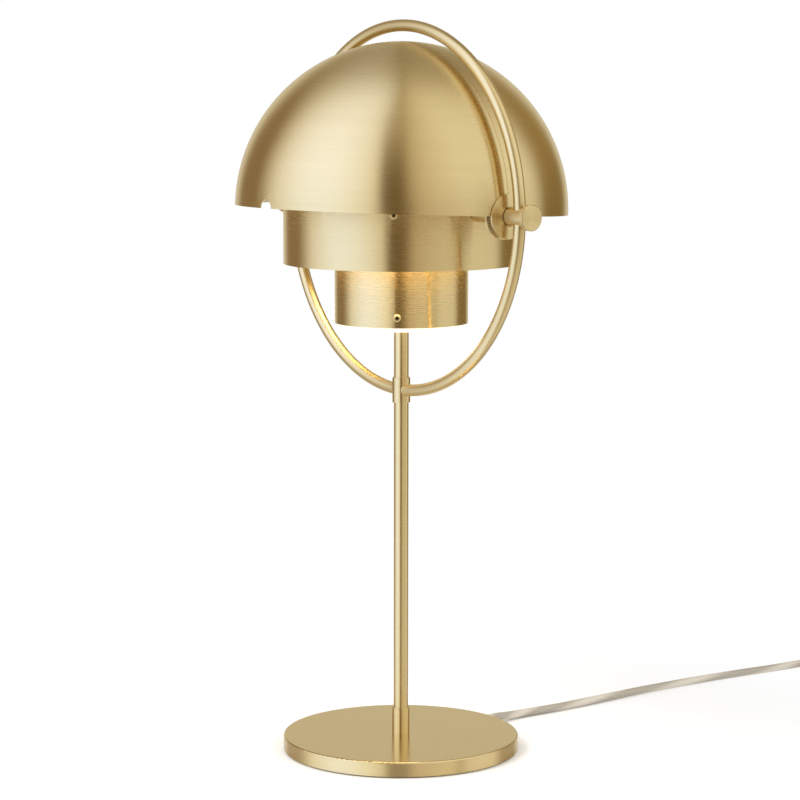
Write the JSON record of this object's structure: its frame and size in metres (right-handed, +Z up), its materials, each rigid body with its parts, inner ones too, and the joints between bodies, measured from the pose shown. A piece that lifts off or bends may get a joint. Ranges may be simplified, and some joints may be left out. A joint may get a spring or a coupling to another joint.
{
  "type": "dome shade desk lamp",
  "caption": "Table lamp with a round foot, a slim stem, a hoop and two quarter-sphere shades that turn over nested cylinders.",
  "frame": {"origin": "centre of the foot's underside, on the table", "axes": "+Z up along the stem, +X along the hinge axis of the shades, the front shade towards -Y"},
  "size_m": [0.2706, 0.5944, 0.5],
  "materials": {
    "brushed_brass": "satin brushed",
    "shade_brass": "satin brushed outside, white lacquer inside",
    "hidden_steel": "zinc plated",
    "nylon": "matt",
    "opal": "satin opal",
    "holder_plastic": "matt",
    "bulb_glass": "frosted",
    "bulb_cap": "satin",
    "pad_rubber": "matt",
    "cord_pvc": "clear over twisted cores",
    "plug_pvc": "satin",
    "plug_pins": "nickel plated"
  },
  "bodies": {
    "stand": {"base_pad": "pad_rubber", "base_plate": "brushed_brass", "foot_nut": "hidden_steel", "stem": "brushed_brass", "lower_collar": "brushed_brass", "upper_collar": "brushed_brass", "ring": "brushed_brass", "large_cylinder": "brushed_brass", "small_cylinder": "brushed_brass", "spider": "hidden_steel", "cylinder_straps": "hidden_steel", "small_cylinder_screws": "brushed_brass", "small_cylinder_nuts": "hidden_steel", "large_cylinder_screws": "brushed_brass", "large_cylinder_nuts": "hidden_steel", "spider_nut": "hidden_steel", "lampholder_cap": "holder_plastic", "lampholder_body": "holder_plastic", "bulb_cap": "bulb_cap", "bulb_glass": "bulb_glass", "diffuser": "opal", "cord_relief": "cord_pvc", "cord_lead": "cord_pvc", "cord_coil": "cord_pvc", "cord_tail": "cord_pvc", "plug_body": "plug_pvc", "plug_pins": "plug_pins", "hinge_shaft_right": "brushed_brass", "end_cap_right": "brushed_brass", "disc_washer_right": "brushed_brass", "friction_washer_right": "nylon", "spacer_sleeve_right": "brushed_brass", "hinge_nut_right": "hidden_steel", "hinge_shaft_left": "brushed_brass", "end_cap_left": "brushed_brass", "disc_washer_left": "brushed_brass", "friction_washer_left": "nylon", "spacer_sleeve_left": "brushed_brass", "hinge_nut_left": "hidden_steel"},
    "front_shade": {"shade_front": "shade_brass"},
    "back_shade": {"shade_back": "shade_brass"}
  },
  "joints": [
    {"name": "front_shade_turn", "type": "hinge", "parent": "stand", "child": "front_shade", "pos_m": [0, 0, 0.373], "axis": [1, 0, 0], "range_deg": [0, 90.5]},
    {"name": "back_shade_turn", "type": "hinge", "parent": "stand", "child": "back_shade", "pos_m": [0, 0, 0.373], "axis": [-1, 0, 0], "range_deg": [0, 86]}
  ]
}
